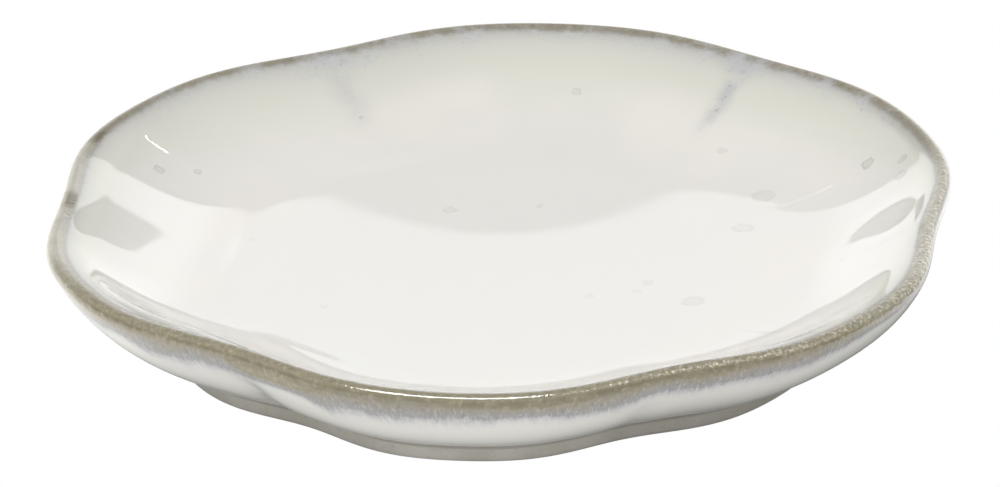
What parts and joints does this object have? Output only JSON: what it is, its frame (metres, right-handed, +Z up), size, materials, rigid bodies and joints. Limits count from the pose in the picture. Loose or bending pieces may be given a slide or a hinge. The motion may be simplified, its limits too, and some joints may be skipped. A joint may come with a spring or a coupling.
{
  "type": "soy sauce dish",
  "caption": "Shallow round dish with a petal-lobed rim, a brown-edged cream glaze and a lobed foot ring, for soy sauce or dips.",
  "frame": {"origin": "on the table under the middle of the dish", "axes": "+Z up through the middle of the well; +X points at a notch between two lobes and +Y at the middle of a lobe"},
  "size_m": [0.096, 0.1, 0.014],
  "materials": {
    "clay": "bare fired stoneware",
    "foot_clay": "bare stoneware, ground flat where it stands",
    "cream_glaze": "glossy cream glaze with faint speckles",
    "brown_glaze": "glossy mottled olive brown glaze",
    "lavender_glaze": "glossy lavender white glaze with runs",
    "base_glaze": "glossy cream glaze"
  },
  "bodies": {
    "root": {"clay_shell": "clay", "foot_ring": "foot_clay", "well_glaze": "cream_glaze", "rim_glaze": "brown_glaze", "wall_glaze": "lavender_glaze", "base_glaze": "base_glaze"}
  },
  "joints": []
}
